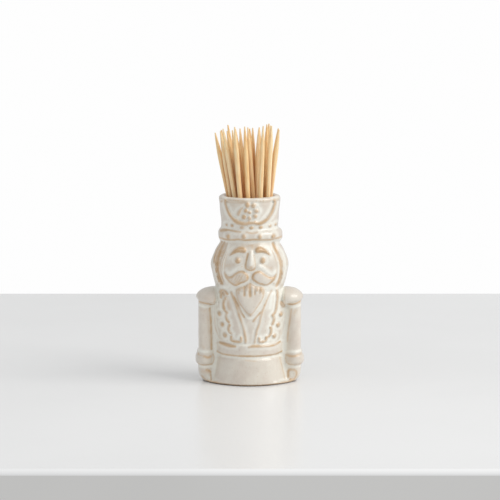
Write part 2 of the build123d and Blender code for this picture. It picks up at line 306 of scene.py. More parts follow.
class Side:
    """Relief and glaze of one side: heights in mm, shares of tan (thin glaze, and painted shade) and shares of
    white (pooled glaze, and painted highlights).
    """

    def __init__(self):
        shape = (len(map_x), len(map_z))
        layers = (np.zeros(shape) for _ in range(5))
        self.panels, self.cords, self.grooves, self.thin, self.pool = layers

    def paint(self, where, thin, pool):
        self.thin[where] = np.maximum(self.thin[where], thin)
        self.pool[where] = np.maximum(self.pool[where], pool)

    def swell(self, where, height, thin, pool):
        """Raise what is lower there, and paint it."""
        self.cords[where] = np.maximum(self.cords[where], height)
        self.paint(where, thin, pool)

    def cord(self, points, half_width, height, thin, halo=0):
        """Round cord, or a groove where the height is below zero."""
        line = smooth_line(points)
        where = window(line, half_width + 3)
        away = distance_to(line, where)
        form = height * np.sqrt(np.clip(1 - (away / half_width) ** 2, 0, 1))
        self.grooves[where] = np.minimum(self.grooves[where], form)
        rim = bell(away - half_width - 0.6 * usual_halo, usual_halo)
        self.swell(where, form, thin * bell(away, 1.1 * half_width), halo * rim)

    def pillow(self, points, height, edge, thin=0, halo=0, inner=0):
        """Raised shape with a rounded edge, inside a closed line."""
        line = smooth_line(points, closed=True)
        where = window(line, 4)
        depth = distance_to(line, where) * np.where(within(line, where), 1, -1)
        share = np.clip(depth / edge, 0, 1)
        self.panels[where] += height * np.sqrt(share * (2 - share))
        tint = thin * bell(depth - hem, 0.5) + inner * (depth > hem)
        self.paint(where, np.minimum(tint, 1), halo * bell(depth + 0.85, usual_halo))

    def bead(self, x, z, half_width, half_height, height, thin=0.7, halo=0.9):
        """Low round or oval knob."""
        where = window(np.array([(x, z)]), max(half_width, half_height) + 3)
        all_x, all_z = places(where)
        share = np.hypot((all_x - x) / half_width, (all_z - z) / half_height)
        away = (share - 1) * min(half_width, half_height)
        form = height * np.sqrt(np.clip(1 - share**2, 0, 1))
        tint = thin * np.clip(1.25 * bell(share, 0.95), 0, 1)
        self.swell(where, form, tint, halo * bell(away - 0.6, 0.6))

    def wash(self, points, width, thin=0, pool=0, depth=0):
        """Broad soft stroke of glaze, painted shade or painted highlight, with a shallow swell or hollow under it.
        """
        line = smooth_line(points)
        where = window(line, 3 * width)
        away = bell(distance_to(line, where), width)
        self.panels[where] += depth * away
        self.paint(where, thin * away, pool * away)

    def thinned(self, *strokes):
        """Tan strokes of thin glaze, some of them painted shade, each as its width, its share and its points."""
        for width, share, *points in strokes:
            self.wash(points, width, thin=share)

    def pooled(self, *strokes):
        """Strokes where it pools, given in the same way."""
        for width, share, *points in strokes:
            self.wash(points, width, pool=share)

    def ridge(self, points, half_widths, heights, halo, thin=0, pool=0, halo_width=usual_halo):
        """Swelling whose width and height change along a line."""
        line = smooth_line(points)
        along, stops = np.linspace(0, 1, len(line)), np.linspace(0, 1, len(half_widths))
        widths, tops = np.interp(along, stops, half_widths), np.interp(along, stops, heights)
        where = window(line, max(half_widths) + 3)
        x, z = places(where)
        form = np.zeros((x.size, z.size))
        share, away = form + far_off, form + far_off
        for (at_x, at_z), width, top in zip(line, widths, tops):
            distance = np.hypot(x - at_x, z - at_z)
            form = np.maximum(form, top * np.sqrt(np.clip(1 - (distance / width) ** 2, 0, 1)))
            share = np.minimum(share, distance / width)
            away = np.minimum(away, distance - width)
        rim = halo * bell(away - 0.6 * halo_width, halo_width)
        self.swell(where, form, thin * bell(share, 1), np.maximum(pool * bell(share, 0.8), rim))

    def relief(self):
        """All heights together, softened as a coat of glaze does."""
        layer = self.panels + self.cords + self.grooves
        for _ in range(softening_rounds):
            for axis in (0, 1):
                layer = (np.roll(layer, 1, axis) + 2 * layer + np.roll(layer, -1, axis)) / 4
        return layer


def sample(layer, x, z):
    """Value of a map at places between its points."""
    u = np.clip((x - map_x[0]) / map_step, 0, len(map_x) - 1.001)
    v = np.clip((z - map_z[0]) / map_step, 0, len(map_z) - 1.001)
    i, j = u.astype(int), v.astype(int)
    u, v = u - i, v - j
    low = layer[i, j] * (1 - v) + layer[i, j + 1] * v
    high = layer[i + 1, j] * (1 - v) + layer[i + 1, j + 1] * v
    return low * (1 - u) + high * u


# ---- what is on the front and the back
front, back = Side(), Side()


def both(points, width, **how):
    """The same stroke on the left and on the right."""
    front.wash(points, width, **how)
    front.wash([(-x, z) for x, z in points], width, **how)


# Lip of the hat
for side in (front, back):
    side.cord([(-12.6, 74), (12.6, 74)], 0.55, -0.2, thin=0)
    side.wash([(-12.6, 75), (12.6, 75)], 0.55, thin=0.42, depth=0.14)
# Painted highlight: white along the lip's crest at the front right, laid in the pooled-glaze share
front.wash([(2.3, 75.4), (5.9, 75.1), (8.6, 75.1)], 0.35, pool=1)
# Tan under the roll of the lip: thin glaze in its groove and painted shade under the lip, deeper on the left
front.thinned(
    (0.65, 0.5, (-11.2, 74.3), (-8.3, 74.2), (-4.2, 74.2), (-1.7, 74.4)),
    (0.6, 0.7, (-11.4, 73.8), (-10.9, 74.4)),
    (0.45, 0.35, (3.4, 74.6), (6.6, 74.3), (8.2, 74.5)),
    (0.6, 0.5, (10.6, 75), (11.6, 74.4)),
)

# Swag and rosette
swag = [(-9.9, 74.8), (-9.8, 73.5), (-9.2, 71.6), (-8.3, 69.5), (-7.1, 67.8), (-5.8, 66.8), (-4.4, 66.1),
    (-3, 65.7), (-1.6, 65.7), (-0.5, 66), (0.6, 66.1), (2, 66.1), (3.2, 65.8), (4.5, 65.9), (6, 66.6),
    (7.3, 67.6), (8.4, 69), (9.3, 70.6), (9.9, 72.4), (10.2, 73.8), (9.9, 74.8)]
front.ridge(swag, (0.5, 0.6, 0.8, 1, 0.85, 0.7, 0.7, 0.8, 0.85, 0.7, 0.65),
            (0.7, 0.8, 0.95, 1.05, 1, 0.85, 0.85, 0.95, 1, 0.85, 0.75), thin=0.82, halo=0.8)
front.ridge([(-0.6, 66), (-0.2, 66.8)], (0.5, 0.25), (0.5, 0.3), thin=0.9, halo=0.4)
front.ridge([(2, 66.2), (2.2, 66.9)], (0.5, 0.25), (0.5, 0.3), thin=0.9, halo=0.4)
front.wash([(-8.9, 74.1), (-8.3, 72.2), (-6.9, 70), (-5.2, 68.1), (-3.3, 66.9)], 0.8, pool=1, depth=-0.12)
front.wash([(9.4, 74.1), (8.8, 72.4), (7.7, 70.7), (6.3, 68.9), (4.9, 67.6)], 0.75, pool=1, depth=-0.1)
front.bead(-0.9, 73.4, 1.1, 1.3, 0.95)
front.bead(1.6, 73.1, 1.1, 1.2, 0.95)
front.ridge([(-4.5, 69.6), (-4, 70.9), (-2.8, 72.3)], (0.85, 0.75, 0.4),
            (0.55, 0.5, 0.25), thin=0.65, halo=0.8)
for x, z, wide, tall in (
    (-1.6, 71, 0.85, 0.85), (-0.1, 70.3, 0.75, 0.65), (2.6, 70.9, 1.05, 0.85),
    (-2.3, 68.5, 0.9, 0.9), (-0.1, 68, 0.8, 0.85), (2.1, 68.8, 0.85, 0.8),
):
    front.bead(x, z, 1.15 * wide, 1.15 * tall, 0.9, thin=0.68, halo=0.9)
front.ridge([(2.7, 73.9), (3.1, 72.8), (3.9, 71.8), (4.3, 70.3)], (0.35, 0.4, 0.4, 0.35),
            (0.2, 0.25, 0.25, 0.2), pool=1, halo=0.3)
front.wash([(-6, 70.6), (-5, 69)], 0.7, pool=0.6)
front.thinned(
    (1.1, 0.26, (-7.2, 73.2), (-5.2, 72.6), (-3.6, 73.4)),
    (0.9, 0.2, (5.2, 73.2), (6.8, 72.6), (7.8, 73.4)),
)

# Beads round the foot of the hat and ovals on the brim
for x, z, wide, thin in (
    (-9.3, 64.7, 0.6, 0.42), (-7.1, 64.7, 0.65, 0.7), (-3.1, 64.2, 0.9, 0.85), (0.7, 64.1, 0.8, 0.9),
    (4.5, 64.2, 0.8, 0.8), (8.2, 64.4, 0.65, 0.55), (10.6, 64.7, 0.6, 0.5),
):
    front.bead(x, z, 1.1 * wide, 0.65, 0.55, thin=0.95 * thin, halo=0.8)
for x, z in ((-8.7, 60.5), (-2.4, 60.8), (4.1, 60.7), (9.6, 60.5)):
    front.bead(x, z - 0.2, 0.95, 1.15, 0.7, thin=0.72, halo=0.6)
for x in (-10, -6.6, -2.2, 2.2, 6.6, 10):
    back.bead(x, 64.3, 0.8, 0.6, 0.38, thin=0.8, halo=0.7)
for x in (-8.5, -3, 3, 8.5):
    back.bead(x, 60.4, 0.75, 0.95, 0.42, thin=0.75, halo=0.6)
back.wash([(-13, 58.1), (0, 57.9), (13, 58.1)], 0.42, thin=0.8)
for side in (front, back):
    side.wash([(-13, 63.3), (13, 63.3)], 0.5, pool=0.75)
front.thinned(
    (0.46, 0.8, (-13, 59.1), (-11.4, 59), (-10, 58.85), (-8.3, 58.9), (-6.4, 59.05), (-4.8, 59.4),
     (-3.3, 59.35), (-1.7, 59.15), (0.4, 59.35), (2, 59.5), (3.5, 59.3), (6.6, 59.1), (8.5, 59),
     (10.1, 59.3), (12, 59.4), (13.2, 59.6)),
    (0.36, 0.75, (-11.3, 62.3), (-9.8, 62.7), (-7.3, 62.7), (-5.1, 62.5), (-3.6, 62.4)),
    (0.5, 1, (-11.6, 62), (-10.4, 62.4), (-9.4, 62.6)),
    (0.42, 0.5, (-1.4, 62.4), (1, 62), (3.1, 62.3)),
)
front.pooled(
    (0.6, 0.85, (-13, 57.9), (0, 58.1), (13, 58.2)),
    (0.5, 0.7, (-7.4, 61.7), (-5.2, 61.4)),
    (0.5, 0.8, (5, 61.8), (7.4, 61.6)),
)

# Face: brows, eyes and cheeks
brow = [(2.15, 54.8), (2.3, 55.7), (2.9, 56.35), (4, 56.5), (5.2, 56.1), (6.6, 55.2), (7.7, 53.9),
    (8.3, 52.8), (7.4, 53.4), (6.3, 54), (4.9, 54.3), (3.6, 54.2), (2.7, 54.1)]
left_brow = [(-1.45, 54.8), (-1.5, 55.7), (-2.2, 56.35), (-3.6, 56.5), (-5, 56.2), (-6.2, 55.4),
    (-7.3, 54.2), (-8.2, 52.7), (-7.2, 53.3), (-6.2, 53.8), (-4.8, 54.3), (-3.4, 54.3), (-2.1, 54.1)]
for shape in (brow, left_brow):
    front.pillow(shape, 1, 0.95, thin=0.6, halo=0.6, inner=0.62)
for x in (-4.75, 5.3):
    front.bead(x, 51.15, 1, 1.1, 1.2, thin=0.82, halo=0.3)
    # Painted shade along the foot of each eye dome
    front.wash([(x - 0.8, 50.6), (x - 0.1, 50.1), (x + 0.6, 50.4)], 0.35, thin=1)
    ring = [(x + 2 * math.cos(a), 51.2 + 1.9 * math.sin(a)) for a in np.linspace(0, 2 * math.pi, 17)]
    front.wash(ring, 0.5, pool=0.75, depth=-0.1)
for x in (-6.4, -2.9, 3.4, 6.9):
    front.wash([(x, 57.6), (0.8 * x, 56.9)], 1.3, thin=0.2)
front.thinned(
    # Darker lines along the lower edges of the brows: thin glaze at the edge, deepened as painted shade
    (0.3, 0.85, (-7.8, 53), (-6, 54), (-4.6, 54.4), (-2.4, 54.4)),
    (0.3, 0.8, (7.9, 53.1), (6.2, 54.1), (4.8, 54.4), (2.8, 54.4)),
    (1, 0.34, (-9.2, 48.6), (-7.2, 49), (-5.6, 49.8)),
    (0.7, 0.15, (-2.7, 51.5), (-3, 49.8)),
    (0.7, 0.34, (4.9, 49.6), (6.6, 48.6), (8.6, 47.6)),
    (1.4, 0.36, (-2.8, 56.7), (0.3, 56.2), (3.4, 56.7)),
    (1.2, 0.12, (-6.6, 51.6), (-7.6, 50.4)),
    (0.55, 0.55, (-0.9, 56.7), (0.2, 56.9), (1.2, 57)),
)

# Nose
front.ridge([(0.45, 54.4), (0.45, 52.6), (0.4, 50.9), (0.35, 49.25)], (0.8, 1.15, 1.5, 1.8),
            (0.5, 1.1, 1.5, 1.6), halo=0.7, halo_width=0.8)
# Painted highlight down the right side of the nose, laid in the pooled-glaze share
front.wash([(0.7, 53.6), (0.9, 51.6), (0.75, 49.6)], 0.5, pool=0.8)
front.thinned(
    (0.48, 0.8, (-0.7, 53.8), (-1.05, 52.3), (-1.45, 50.5), (-1.65, 49.1), (-1.45, 48), (-0.7, 47.4)),
    (0.42, 0.75, (-0.7, 47.4), (0.35, 47.15), (1.5, 47.4), (2.1, 48)),
    (0.36, 0.5, (2.1, 48), (2.3, 49.4), (2.05, 51.4), (1.75, 53.2)),
)

# Moustache with the ridges over it
moustache = [(0.9, 44.3), (1.3, 45.6), (2.4, 46.5), (3.8, 46.9), (5, 46.4), (6.6, 45.1), (8.2, 44.1),
    (9.6, 44.1), (10.7, 45.3), (10.3, 43.5), (9.1, 42.1), (7.9, 41.2), (6.5, 40.8), (4.7, 41.3), (3.5, 41.7),
    (2.2, 42.5), (1.2, 43.4)]
left_moustache = [(-0.5, 44.3), (-1, 45.5), (-2, 46.5), (-3, 46.9), (-4.4, 46.7), (-5.9, 45.8), (-7.3, 44.6),
    (-8.3, 44.3), (-9.3, 45), (-10.1, 46.2), (-10, 44.7), (-9.5, 43.6), (-8.7, 42.6), (-7.3, 41.4),
    (-5.5, 40.7), (-3.7, 41.7), (-2.2, 42.3), (-0.9, 43.1)]
for shape in (moustache, left_moustache):
    front.pillow(shape, 1.3, 1.9, thin=0.82, halo=0.75)
front.wash([(-9, 46), (-7.8, 45.7), (-6.2, 47), (-4.4, 48.1), (-3, 48.7)], 0.9, pool=1, depth=0.55)
front.wash([(3.6, 48.9), (5.6, 47.6), (7.5, 46), (9.1, 45.2), (10.3, 46.2)], 0.95, pool=1, depth=0.45)
for shift, share in ((-0.9, 0.3), (0.2, 0.36), (1.3, 0.42), (2.4, 0.36)):
    stroke = [(-6.6 + shift, 41.7), (-5.2 + shift, 43.2), (-4.2 + shift, 45.2)]
    front.cord(stroke, 0.42, -0.4, thin=1.3 * share)
    stroke = [(2.8 + shift, 45.4), (4.4 + shift, 43.9), (6 + shift, 42.2)]
    front.cord(stroke, 0.35, -0.08, thin=0.08)
front.wash([(-3.2, 42.1), (-2, 42.6)], 0.5, thin=0.55)
front.wash([(0.2, 45.5), (0.2, 43)], 0.7, pool=0.8, depth=-0.3)

# Hair: a smooth lock on each side of the face, two grooves and the locks between them
for lock, edge, inner, groove, strand, second, deep in (
    ([(-8.4, 57.3), (-9.8, 53.3), (-11, 49.2), (-10.9, 45.3), (-9.3, 42)],
     [(-8.8, 53.7), (-9.5, 51.4), (-10, 49), (-10.1, 46.5), (-9.8, 44.4), (-8.3, 41.7)],
     [(-9, 57.3), (-9.95, 54.4), (-10.9, 52), (-11.6, 49.6), (-11.7, 46.6), (-11.2, 43.9), (-10.6, 42)],
     [(-10.1, 57.2), (-11.6, 54.2), (-12.6, 51.2), (-12.95, 49.2), (-12.8, 46.2), (-12.2, 43.4), (-11.1, 41)],
     [(-10.7, 57.3), (-12.3, 54.3), (-13.4, 51.3), (-13.8, 48.2), (-13.5, 44.6), (-12.6, 41.2)],
     [(-11.1, 57.4), (-12.8, 54.6), (-13.9, 51.6), (-14.3, 49.2)], 0.95),
    ([(8.6, 57.3), (10.1, 54.5), (11.7, 50.7), (11.9, 47.1), (11.3, 43.7), (9.9, 41.4)],
     [(8.9, 54.6), (10.2, 51.5), (10.8, 48.2), (10.8, 44.6), (10, 42.6)],
     [(8.9, 57.4), (9.9, 55.3), (10.9, 53), (11.6, 50.8)],
     [(9.3, 57.2), (10.3, 55), (11.5, 52.6), (12.3, 50.1), (12.5, 47.5), (12.4, 44.3), (11.7, 41.8),
      (10.9, 40.1)],
     [(10.5, 57.1), (13, 53.9), (14.2, 50.6), (14.3, 46.6), (13.7, 43.2), (12.8, 40.8)],
     [(11.8, 56.9), (13.8, 54), (14.9, 50.9), (15.1, 48)], 0.3),
):
    front.wash(lock, 0.75, pool=0.95, depth=0.5)
    front.wash(edge, 0.28, thin=0.45)
    front.cord(inner, 0.42, -0.75, thin=0.5, halo=0.2)
    front.cord(groove, 0.62, -0.68, thin=0.86, halo=0.35)
    front.wash(strand, 0.42, pool=0.8, depth=0.25)
    front.cord(second, 0.48, -0.5 * deep - 0.05, thin=deep, halo=0.5)
both([(9, 39.9), (11.5, 39.5)], 1, pool=0.85)
for across in (-12.4, -8, -3.8, 0, 3.8, 8, 12.4):
    spread = 1 + 0.12 * math.cos(across)
    strand = [(0.72 * across, 57), (0.92 * across, 53.5), (across * spread, 48.5), (0.86 * across, 41)]
    back.cord(strand, 0.7, -0.55, thin=0.75, halo=0.4)
front.pooled(
    (0.7, 0.9, (-7.2, 39.6), (-6.4, 37.8)),
    (0.7, 0.9, (7.2, 39.9), (6.9, 37.9)),
)

# Beard
beard = [(-5.6, 38), (-5.2, 39.5), (-3.1, 40.4), (-1.8, 40.7), (-0.7, 41.7), (0.2, 41.9), (1.2, 41.4),
    (2.6, 40.7), (5, 40.3), (5.9, 39.2), (5.9, 37.1), (5.3, 35.4), (4.3, 33.6), (2.8, 31.5), (1.5, 29.7),
    (0.3, 28.5), (-1, 29.5), (-2.7, 31.5), (-4.2, 33.6), (-5.1, 35.7)]
front.pillow(beard, 1.4, 1.6, thin=0.5, halo=0.85)
front.wash([(-4.6, 39.6), (-1.9, 40.2), (0.1, 40.9), (2.2, 40.2), (4.9, 39.5)], 0.7, thin=0.4)
for x, top, foot, wide, share in (
    (-4.5, 39.5, 37.6, 0.42, 0.7), (-3.4, 39.8, 37.9, 0.28, 0.4), (-2.1, 40.4, 37, 0.45, 0.85),
    (0.15, 41.5, 36.8, 0.6, 0.95), (2.05, 40.4, 37.4, 0.38, 0.8), (3.9, 39.9, 37.8, 0.42, 0.65),
    (5.2, 39.6, 37.4, 0.32, 0.6),
):
    front.cord([(x, top), (x, foot)], wide, -0.32, thin=0.9 * share)
for x in (-1.1, 1.3, 3, 4.6):
    front.wash([(x, 40.2), (x, 38)], 0.35, pool=0.75, depth=0.15)
front.wash([(-6.8, 37.8), (-5.3, 33.9), (-2.8, 30.1), (0.2, 27.5), (3.2, 29.9), (5.7, 33.3), (7.1, 37.3)],
           0.58, pool=1, depth=0.28)

# Coat: lapels, the shirt between them, trims and buttons
left_lapel = [(-7.4, 37.8), (-6.3, 35.1), (-5.2, 32.2), (-4.3, 29), (-3.3, 26.1), (-2.3, 22.8), (-1.7, 19.1),
    (-1.7, 17.8)]
right_lapel = [(8.8, 38.5), (7.7, 36.5), (6.3, 33.4), (5.2, 30.7), (4.5, 28), (3.8, 25), (2.9, 22.6),
    (2.3, 19.1), (2, 17.8)]
front.ridge(left_lapel, (0.6, 0.7, 0.6, 0.5, 0.6, 0.55),
            (0.4, 0.5, 0.42, 0.4, 0.42, 0.35), thin=0.66, halo=0.7)
front.ridge(right_lapel, (0.48, 0.5, 0.58, 0.55, 0.58, 0.5),
            (0.35, 0.4, 0.42, 0.4, 0.42, 0.35), thin=0.55, halo=0.7)
front.cord([(-6.4, 36.3), (-5, 33.7), (-3.7, 30.8), (-2.2, 28)], 0.4, -0.25, thin=0.75)
front.cord([(4.3, 29.9), (2.7, 28.1), (1.5, 26.4)], 0.42, 0.25, thin=0.75, halo=0.3)
for trim in (
    [(-11.9, 37.3), (-11.3, 38.2), (-10.1, 38.2), (-9.1, 37.1)],
    [(-11.5, 36.8), (-11.5, 35.4)],
    [(-9.8, 35.4), (-10.4, 33.7), (-10.6, 31.8), (-10.3, 30.7), (-9.5, 29.8)],
    [(-9.1, 29.6), (-9.5, 28.1), (-9.2, 26.6), (-8.4, 25.7)],
    [(-8.1, 24.6), (-8.5, 23.2), (-8.3, 22), (-7.4, 21.1)],
    [(-7.4, 19.8), (-7.2, 18.3), (-5.4, 18), (-3.6, 18.1), (-3.4, 19.7)],
    [(11, 38.3), (11.2, 36), (11, 33.3), (10.7, 31.1), (10.2, 29.6), (9.2, 28.4)],
    [(9.3, 28.5), (9.8, 26.8), (9.2, 24.8)],
    [(8.5, 23.6), (8.7, 21.9), (8.1, 20.3), (6.7, 19.6)],
    [(6.9, 19.5), (6.3, 18.2), (4.1, 18.1), (3.8, 19.4)],
):
    front.cord(trim, 0.58, 0.75, thin=0.66, halo=1)
left_panel = [(-10.2, 37.6), (-8.6, 37.6), (-5.6, 30), (-3.8, 24), (-2.9, 18.6), (-6.2, 18.6), (-7.8, 23),
    (-9.2, 29.4), (-10.4, 34)]
right_panel = [(10.6, 37.2), (8.8, 37.2), (6.2, 32.2), (4.6, 26.2), (3.2, 19.2), (6, 19.4), (8.6, 23.6),
    (9.6, 29.2), (10.6, 33.6)]
for shape in (left_panel, right_panel):
    front.pillow(shape, 0.3, 1.6)
front.wash([(9.1, 37.2), (8.6, 34.6), (8.2, 31.6)], 1.05, pool=1)
for x, z in ((-12.2, 28.6), (-11.1, 24.3), (-10, 20.1), (12.7, 28.3), (11.5, 24.1), (9.9, 19.8)):
    front.bead(x, z, 0.82, 1.05, 0.75)
front.pillow([(12.2, 32.9), (12.7, 33.5), (13.8, 32.7), (14.4, 31.2), (13.8, 30.7), (12.9, 31.4)], 0.45, 0.6,
             thin=0.7, halo=0.8)
for edge, trace in (([(-14.3, 28.6), (-14, 22.9), (-13.1, 19.8), (-12.3, 18)], 0.45),
                    ([(14.4, 28.5), (14, 23.9), (12.8, 19.4)], 0.35)):
    front.wash(edge, 0.28, thin=trace)
both([(15.3, 30), (14.95, 26), (14.5, 20), (14, 16), (14.2, 11)], 0.75, pool=1)
both([(13.6, 19.5), (13.2, 17.4)], 0.6, pool=0.9)
front.thinned(
    (0.5, 0.42, (-5.5, 34.4), (-4.3, 31.6), (-3.1, 29.2)),
    (0.55, 0.85, (-10.4, 34.2), (-10.6, 32.4), (-10.2, 31)),
    # Painted shade: a broad taupe stroke on the left chest between trim and lapel
    (1, 0.42, (-10.2, 37), (-9.4, 36), (-8.8, 33.4), (-8.2, 31)),
    (0.6, 0.6, (-10.9, 37.4), (-10.3, 36.2)),
    (0.8, 0.16, (-6.6, 26), (-6, 22.5)),
    (0.7, 0.3, (6.2, 30.6), (6, 28)),
)

# Belt and skirt
front.ridge([(-12, 16.5), (-10.3, 16.4), (-8.3, 16.1), (-5.9, 16)], (0.5, 0.7, 0.7, 0.5),
            (0.1, 0.2, 0.2, 0.1), thin=0.88, halo=0.5)
front.ridge([(-0.4, 15.9), (1.8, 16.3), (4.3, 16.2), (7.5, 16), (10, 16.1), (12.3, 16.7)],
            (0.45, 0.65, 0.6, 0.5, 0.45, 0.4), (0.1, 0.18, 0.18, 0.18, 0.15, 0.1), thin=0.78, halo=0.5)
both([(13, 16.4), (13.1, 12.8)], 0.25, thin=0.35)
back.wash([(-13.3, 12.4), (0, 12.2), (13.3, 12.4)], 0.34, thin=0.85)
back.wash([(-13.3, 16.5), (0, 16.4), (13.3, 16.5)], 0.34, thin=0.6)
back.cord([(0, 37.5), (0, 30), (0, 17.4)], 0.4, -0.3, thin=0.6, halo=0.5)
for x in (-3.2, 3.2):
    back.bead(x, 19.6, 0.9, 0.9, 0.5, thin=0.85, halo=0.7)
for side in (front, back):
    side.wash([(-15, 0.3), (0, 0.35), (15, 0.3)], 0.4, thin=0.85)
both([(13.4, 9.9), (14.2, 5.2), (15.1, 0.9)], 0.55, pool=1)
front.thinned(
    (0.42, 0.88, (-13.1, 12.6), (-12.3, 12.2), (-10.3, 12.15), (-6.8, 12.2), (-0.4, 12.25), (5.5, 12.2),
     (9, 12.2), (11.5, 12.3), (12.9, 12.6)),
    (0.35, 0.4, (-1.8, 10.5), (0.6, 10.3), (3.1, 10)),
    (0.25, 0.5, (12.2, 10.3), (13.2, 6.1), (14.3, 1.6)),
    (0.25, 0.2, (-12, 10.2), (-12.8, 6)),
)
front.pooled(
    (0.6, 0.95, (-5.2, 16.6), (-2.2, 16.7), (0.4, 17)),
    (0.5, 1, (-13.4, 11.2), (-6.8, 11.3), (5.5, 11.35), (13.4, 11.2)),
)

# Arms, cuffs and fists
both([(20.9, 12.9), (18.4, 12.6), (15.4, 12.6)], 0.6, pool=1)
both([(20.5, 6.3), (18, 6.3), (15.2, 6.3)], 0.5, pool=1)
front.wash([(-17.2, 2.6), (-16.8, 1.6)], 0.5, pool=0.6, depth=-0.12)
ring = [(15.7, 2), (15.7, 4.5), (17.2, 5.1), (18.7, 4.5), (18.9, 2.6), (17.8, 1), (16.5, 1.1)]
front.wash(ring, 0.6, thin=0.72)
front.wash([(16.9, 3.7), (17.2, 2.9)], 0.6, pool=0.7, depth=-0.15)
# Tan of thin glaze on the cuffs' inner edges, deepened as painted shade in the gap beside the coat
both([(14.9, 11.4), (14.5, 9.6), (14.9, 7.7)], 0.32, thin=0.55)
both([(20.8, 31.6), (18, 31), (15, 30.9)], 0.6, pool=0.95)
both([(13.3, 31.5), (13.2, 34.5), (13.6, 37.5)], 0.6, pool=0.85)
front.thinned(
    # Painted shade in the valleys between the arms and the coat, deepest on the left, with the tan of thin glaze
    # on the arms' inner edges
    (0.8, 0.3, (-17.4, 29.8), (-16.8, 25), (-16.2, 16.5)),
    (0.5, 0.72, (-16.2, 30.2), (-15.7, 24), (-15.5, 13.5)),
    (0.4, 0.5, (16.9, 30), (16.2, 25), (15.6, 20.5), (15.3, 16.5)),
    (0.9, 0.3, (18.6, 29.6), (17.8, 27.8)),
    (0.9, 0.28, (-19.4, 29.8), (-18.2, 29)),
    (0.7, 0.3, (-19.6, 15.2), (-18.6, 14.2)),
    (0.5, 0.75, (-21.6, 12), (-20.9, 11.4)),
    (0.65, 0.72, (-18.6, 10.8), (-17, 10.3), (-16, 10.5)),
    (0.3, 0.5, (-21.3, 11.3), (-19.6, 11), (-18, 10.9)),
    (0.34, 0.75, (-21.2, 7.7), (-19.8, 7.2), (-18.3, 7.1), (-15.4, 7.3)),
    (0.6, 0.6, (14.8, 11), (17.5, 10.8), (19.6, 11.2), (21.5, 11.8)),
    (0.36, 0.55, (14.7, 10.6), (14.9, 8.4), (15.8, 7.4), (18, 7.2), (20.8, 7.6)),
    (0.95, 0.5, (-19, 4.3), (-17.8, 4.4), (-16.6, 4)),
    (0.5, 1, (-17.6, 5), (-16.6, 4.7), (-16, 4)),
    (0.32, 0.7, (-16, 4.4), (-15.8, 2.6), (-15.6, 0.9)),
    (0.6, 0.5, (-19.4, 2.4), (-18.6, 1.4), (-17.8, 0.8)),
    (0.36, 0.9, (-20.7, 33), (-19.2, 32.7), (-17.5, 32.4), (-15.7, 32), (-14.2, 32.2)),
    (0.36, 0.9, (15, 32.2), (17, 32), (19, 32.5), (21.2, 33.4)),
    (0.9, 0.2, (-18, 34.9), (-16, 34.4)),
)

front_relief, back_relief = front.relief(), back.relief()


# ---- the figure as a field
# Distance in mm from the ceramic: below zero inside it. Widths and depths are from the middle
# out. A drum has a half width, half depth, middle height, half height and rounding.
holder_height = 76
well_radius, well_floor_z, well_dish_radius = 9.7, 37.5, 16
well_rim_edge, well_floor_edge = 1.2, 1
hollow_height, hollow_edge, hollow_rim_edge = 32, 4, 0.4
hollow_foot_radius, hollow_top_radius = 10.6, 8.6
foot_edge = 0.8

hat_heights = (65, 70, 74.5, 76)
hat_radii = (11.5, 11.95, 12.4, 12.42)
hat_foot, hat_edge = 60, 1.2
band_radius, band_edge, band_shift = 12.95, 1.85, 0.3
band_top, band_foot, band_front_lift = 62.7, 57.4, 1.3
head_levels = (48.5, 10.6, 1.5)         # middle height, half height and rounding
coat_middle, coat_half_height = 24.5, 16.5
belt_drum = (13.5, 13.3, 14.4, 2.3, 0.6)
skirt_heights = (0, 0.6, 10.6)
skirt_widths = (15.3, 15.55, 13.4)
skirt_depths = (14, 14.25, 13.2)
skirt_top, skirt_edge = 10.9, 0.9
base_width, base_depth, base_top, base_edge = 18.6, 12.8, 0.9, 0.5

arm_out, arm_width, arm_depth = 17.9, 3, 4.8
arm_middle, arm_half_height = 22.5, 12.5
hand_out, hand_top = 14.8, 8
cuff_out, cuff_drum = 18.15, (3.92, 5.6, 9.3, 2.4, 1.7)
ring_out, ring_drum = 18, (3.45, 5.2, 12, 1.1, 0.9)
epaulette_out, epaulette_middle = 14.8, 34.4
epaulette_size = (6.95, 7.3, 4.2)
epaulette_foot, epaulette_slope, epaulette_foot_edge = 31.9, 0.2, 1.6
epaulette_inner, epaulette_inner_edge = 13.4, 1.2
web_out, web_depth, web_top = 17, 3.2, 34

lock_turns = (96, 107)              # degrees round from the face to a groove in the hair
lock_depth, lock_width = 0.4, 0.5
hair_radius = 15
wobble_height, ripple_height = 0.035, 0.03
relief_fade = (1, 4)                    # from none to all, by the distance in front or behind
glaze_fade = (0.5, 3.5)
mouth_fade = (9.9, 10.6)                # inside the well the glaze is even
# Height over which the foot's lowest edge is painted dark brown, as contact shadow
contact_shade_fade = (-0.75, -0.25)


def outline(levels):
    """Smooth half width and half depth over height, through (height, half width, half depth)."""
    run = smooth_line(levels)
    return lambda z: (np.interp(z, run[:, 0], run[:, 1]), np.interp(z, run[:, 0], run[:, 2]))


head_outline = outline([(37.4, 12, 11.3), (39.4, 13.8, 12.6), (43.9, 15.05, 13.05), (48.5, 15.7, 13.3),
                        (53.4, 14.1, 12.9), (56.8, 12.1, 12), (59, 11.4, 11.4)])
coat_outline = outline([(8, 12.9, 12.7), (16.6, 12.9, 12.7), (23, 13.7, 12.8), (29, 14.4, 12.9),
                        (35, 14, 12.7), (41, 12.6, 11.9)])
hand_outline = outline([(-1, 1.9, 3.1), (0.5, 2.2, 3.4), (1.6, 2.6, 3.8), (3.3, 2.95, 4.1),
                        (7.5, 3.15, 4.3)])


def round_form(share, slope, half_size):
    """Distance to a round form, from the share of its size at a place and that share's slope."""
    near = share * (share - 1) / np.maximum(slope, 1e-6)
    return np.where(share < 0.3, -0.7 * half_size, near)


